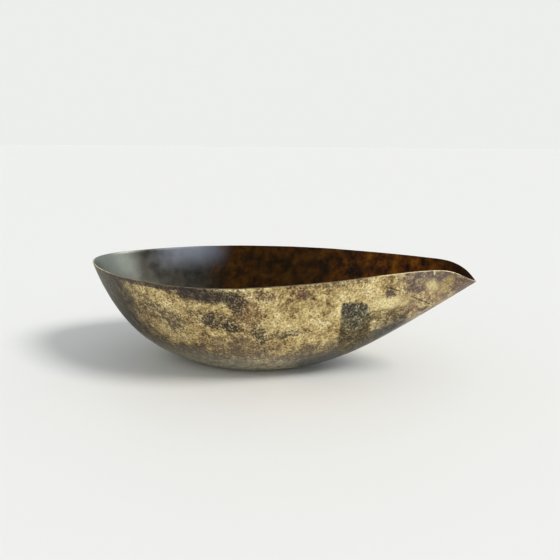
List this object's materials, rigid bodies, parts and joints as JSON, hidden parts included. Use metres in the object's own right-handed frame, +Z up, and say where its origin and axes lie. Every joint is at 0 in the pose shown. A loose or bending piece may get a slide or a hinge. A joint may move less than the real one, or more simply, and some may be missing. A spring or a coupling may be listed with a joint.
{
  "type": "serving bowl",
  "caption": "Leaf-shaped serving bowl hand-raised from one thin brass sheet, with a rounded heel, full sides and a folded prow that ends in a small lip.",
  "frame": {"origin": "on the surface that the bowl stands on, under the centre of its bounding box", "axes": "+X towards the prow's tip, +Z up, and the XZ plane is the bowl's plane of symmetry"},
  "size_m": [0.3197, 0.183, 0.0897],
  "materials": {
    "aged_brass": "hand-raised brass with a mottled khaki, purple-brown and slate patina outside, a darker satin inside and a filed bright rim"
  },
  "bodies": {
    "root": {"bowl_shell": "aged_brass"}
  },
  "joints": []
}
